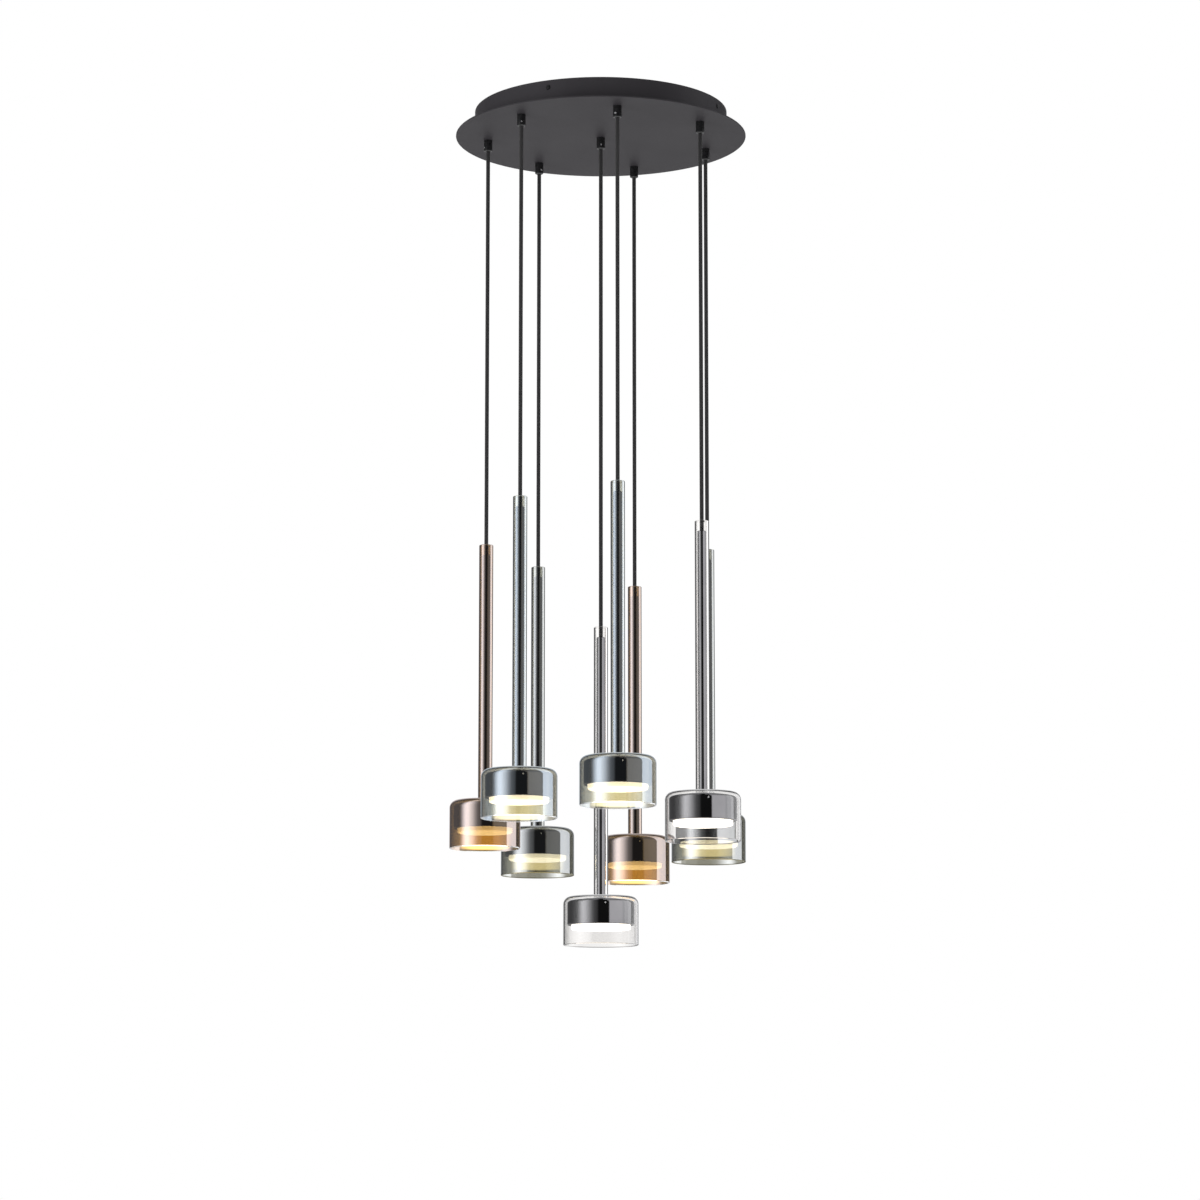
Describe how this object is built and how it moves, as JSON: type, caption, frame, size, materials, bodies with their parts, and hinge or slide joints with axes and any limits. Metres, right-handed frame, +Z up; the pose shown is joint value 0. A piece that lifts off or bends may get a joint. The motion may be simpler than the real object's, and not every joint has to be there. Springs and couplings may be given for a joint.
{
  "type": "glass pendant light",
  "caption": "Cluster pendant light: open-bottomed glass shades on long glass tubes, each with a lit lamp cup, hang on cords at different heights from a round ceiling canopy.",
  "frame": {"origin": "centre of the canopy on the ceiling plane", "axes": "+Z up into the ceiling, -Y towards the viewer, +X to the viewer's right"},
  "size_m": [0.4644, 0.4662, 1.32],
  "materials": {
    "canopy_paint": "fine matt graphite powder coat",
    "bracket_steel": "zinc-plated sheet",
    "black_gloss": "gloss black",
    "zinc_steel": "zinc plated",
    "screw_steel": "bright stainless",
    "white_plastic": "moulded",
    "cord_textile": "fine black braid",
    "black_nickel": "polished black nickel",
    "lamp_cup": "turned, polished and black nickel plated",
    "board": "white solder mask",
    "opal": "opal, lit warm white",
    "glass_clear": "clear, fire polished",
    "glass_smoke": "smoke grey, mirror coated",
    "glass_rose": "rose amber, mirror coated",
    "glass_champagne": "pale champagne, mirror coated"
  },
  "bodies": {
    "canopy": {"ceiling_bracket": "bracket_steel", "canopy_pan": "canopy_paint", "cover_plate": "canopy_paint", "cord_grips": "black_gloss", "grip_nuts": "zinc_steel", "clamp_screws": "screw_steel", "side_screws": "black_gloss", "led_driver": "white_plastic", "mains_terminal": "white_plastic", "distribution_block": "white_plastic", "stud_nuts": "zinc_steel", "canopy_wiring": "cord_textile"},
    "cord_1": {"cord_1": "cord_textile"},
    "pendant_1": {"glass_1": "glass_clear", "stem_1": "black_nickel", "cup_1": "lamp_cup", "led_module_1": "board", "diffuser_1": "opal"},
    "cord_2": {"cord_2": "cord_textile"},
    "pendant_2": {"glass_2": "glass_smoke", "stem_2": "black_nickel", "cup_2": "lamp_cup", "led_module_2": "board", "diffuser_2": "opal"},
    "cord_3": {"cord_3": "cord_textile"},
    "pendant_3": {"glass_3": "glass_rose", "stem_3": "black_nickel", "cup_3": "lamp_cup", "led_module_3": "board", "diffuser_3": "opal"},
    "cord_4": {"cord_4": "cord_textile"},
    "pendant_4": {"glass_4": "glass_smoke", "stem_4": "black_nickel", "cup_4": "lamp_cup", "led_module_4": "board", "diffuser_4": "opal"},
    "cord_5": {"cord_5": "cord_textile"},
    "pendant_5": {"glass_5": "glass_rose", "stem_5": "black_nickel", "cup_5": "lamp_cup", "led_module_5": "board", "diffuser_5": "opal"},
    "cord_6": {"cord_6": "cord_textile"},
    "pendant_6": {"glass_6": "glass_champagne", "stem_6": "black_nickel", "cup_6": "lamp_cup", "led_module_6": "board", "diffuser_6": "opal"},
    "cord_7": {"cord_7": "cord_textile"},
    "pendant_7": {"glass_7": "glass_champagne", "stem_7": "black_nickel", "cup_7": "lamp_cup", "led_module_7": "board", "diffuser_7": "opal"},
    "cord_8": {"cord_8": "cord_textile"},
    "pendant_8": {"glass_8": "glass_clear", "stem_8": "black_nickel", "cup_8": "lamp_cup", "led_module_8": "board", "diffuser_8": "opal"}
  },
  "joints": [
    {"name": "swing_1", "type": "hinge", "parent": "canopy", "child": "cord_1", "pos_m": [0, 0, -0.0555], "axis": [0, 1, 0], "range_deg": [-3, 3]},
    {"name": "height_1", "type": "slide", "parent": "cord_1", "child": "pendant_1", "axis": [0, 0, 1], "range_m": [0, 0.3], "deforming": ["cord_1"]},
    {"name": "swing_2", "type": "hinge", "parent": "canopy", "child": "cord_2", "pos_m": [0.16804, 0.06451, -0.0555], "axis": [0.3584, -0.9336, 0], "range_deg": [-2, 15]},
    {"name": "height_2", "type": "slide", "parent": "cord_2", "child": "pendant_2", "axis": [0, 0, 1], "range_m": [0, 0.3], "deforming": ["cord_2"]},
    {"name": "swing_3", "type": "hinge", "parent": "canopy", "child": "cord_3", "pos_m": [0.05434, 0.1716, -0.0555], "axis": [0.9533, -0.3019, 0], "range_deg": [-2, 15]},
    {"name": "height_3", "type": "slide", "parent": "cord_3", "child": "pendant_3", "axis": [0, 0, 1], "range_m": [0, 0.3], "deforming": ["cord_3"]},
    {"name": "swing_4", "type": "hinge", "parent": "canopy", "child": "cord_4", "pos_m": [-0.10028, 0.14948, -0.0555], "axis": [0.8304, 0.5571, 0], "range_deg": [-2, 15]},
    {"name": "height_4", "type": "slide", "parent": "cord_4", "child": "pendant_4", "axis": [0, 0, 1], "range_m": [0, 0.3], "deforming": ["cord_4"]},
    {"name": "swing_5", "type": "hinge", "parent": "canopy", "child": "cord_5", "pos_m": [-0.17939, 0.01479, -0.0555], "axis": [0.0822, 0.9966, 0], "range_deg": [-2, 15]},
    {"name": "height_5", "type": "slide", "parent": "cord_5", "child": "pendant_5", "axis": [0, 0, 1], "range_m": [0, 0.3], "deforming": ["cord_5"]},
    {"name": "swing_6", "type": "hinge", "parent": "canopy", "child": "cord_6", "pos_m": [-0.12341, -0.13103, -0.0555], "axis": [-0.7279, 0.6856, 0], "range_deg": [-2, 15]},
    {"name": "height_6", "type": "slide", "parent": "cord_6", "child": "pendant_6", "axis": [0, 0, 1], "range_m": [0, 0.3], "deforming": ["cord_6"]},
    {"name": "swing_7", "type": "hinge", "parent": "canopy", "child": "cord_7", "pos_m": [0.0255, -0.17819, -0.0555], "axis": [-0.9899, -0.1416, 0], "range_deg": [-2, 15]},
    {"name": "height_7", "type": "slide", "parent": "cord_7", "child": "pendant_7", "axis": [0, 0, 1], "range_m": [0, 0.3], "deforming": ["cord_7"]},
    {"name": "swing_8", "type": "hinge", "parent": "canopy", "child": "cord_8", "pos_m": [0.15521, -0.09116, -0.0555], "axis": [-0.5065, -0.8623, 0], "range_deg": [-2, 15]},
    {"name": "height_8", "type": "slide", "parent": "cord_8", "child": "pendant_8", "axis": [0, 0, 1], "range_m": [0, 0.3], "deforming": ["cord_8"]}
  ]
}
